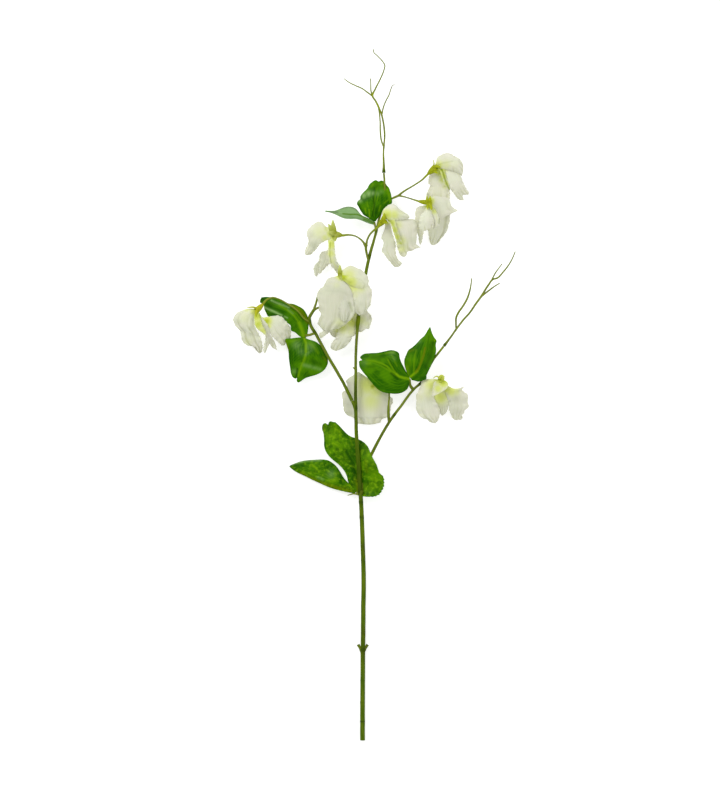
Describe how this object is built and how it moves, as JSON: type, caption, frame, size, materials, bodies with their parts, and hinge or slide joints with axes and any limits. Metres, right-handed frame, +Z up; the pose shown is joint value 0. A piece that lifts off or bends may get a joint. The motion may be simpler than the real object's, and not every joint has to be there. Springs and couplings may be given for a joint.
{
  "type": "white sweet pea flower spray",
  "caption": "Cut spray of white sweet pea lying flat: branched green stem with hooded white flowers, paired leaves and thin branching tendrils.",
  "frame": {"origin": "on the surface that the spray lies on, under the centre of the bounding box", "axes": "+Z up out of the surface towards the flowers' faces, +Y along the main stem from the cut end to the top tendril, +X to the right as seen from above"},
  "size_m": [0.2838, 0.6917, 0.043],
  "materials": {
    "petal": "matt, soft and slightly translucent white, tinted yellow-green at the foot",
    "keel_petal": "matt pale yellow-green",
    "calyx": "matt yellow-green, darker at the sepal tips",
    "leaf": "satin deep green with paler veins",
    "stem": "matt olive green, finely ribbed"
  },
  "bodies": {
    "root": {"main_stem": "stem", "upper_stem": "stem", "left_branch": "stem", "right_branch": "stem", "top_tendril": "stem", "right_tendril": "stem", "leaflet_top_round": "leaf", "leaflet_top_slim": "leaf", "leaflet_left_upper": "leaf", "leaflet_left_lower": "leaf", "leaflet_right_inner": "leaf", "leaflet_right_outer": "leaf", "leaflet_base_left": "leaf", "leaflet_base_right": "leaf", "flower_1_calyx": "calyx", "flower_1_standard": "petal", "flower_1_right_wing": "petal", "flower_1_left_wing": "petal", "flower_1_keel": "keel_petal", "flower_2_calyx": "calyx", "flower_2_standard": "petal", "flower_2_right_wing": "petal", "flower_2_left_wing": "petal", "flower_2_keel": "keel_petal", "flower_3_calyx": "calyx", "flower_3_standard": "petal", "flower_3_right_wing": "petal", "flower_3_left_wing": "petal", "flower_3_keel": "keel_petal", "flower_4_calyx": "calyx", "flower_4_standard": "petal", "flower_4_right_wing": "petal", "flower_4_left_wing": "petal", "flower_4_keel": "keel_petal", "flower_5_calyx": "calyx", "flower_5_standard": "petal", "flower_5_right_wing": "petal", "flower_5_left_wing": "petal", "flower_5_keel": "keel_petal", "flower_6_calyx": "calyx", "flower_6_standard": "petal", "flower_6_right_wing": "petal", "flower_6_left_wing": "petal", "flower_6_keel": "keel_petal", "flower_7_calyx": "calyx", "flower_7_standard": "petal", "flower_7_right_wing": "petal", "flower_7_left_wing": "petal", "flower_7_keel": "keel_petal", "flower_8_calyx": "calyx", "flower_8_standard": "petal", "flower_8_right_wing": "petal", "flower_8_left_wing": "petal", "flower_8_keel": "keel_petal", "flower_9_calyx": "calyx", "flower_9_standard": "petal", "flower_9_right_wing": "petal", "flower_9_left_wing": "petal", "flower_9_keel": "keel_petal"}
  },
  "joints": []
}
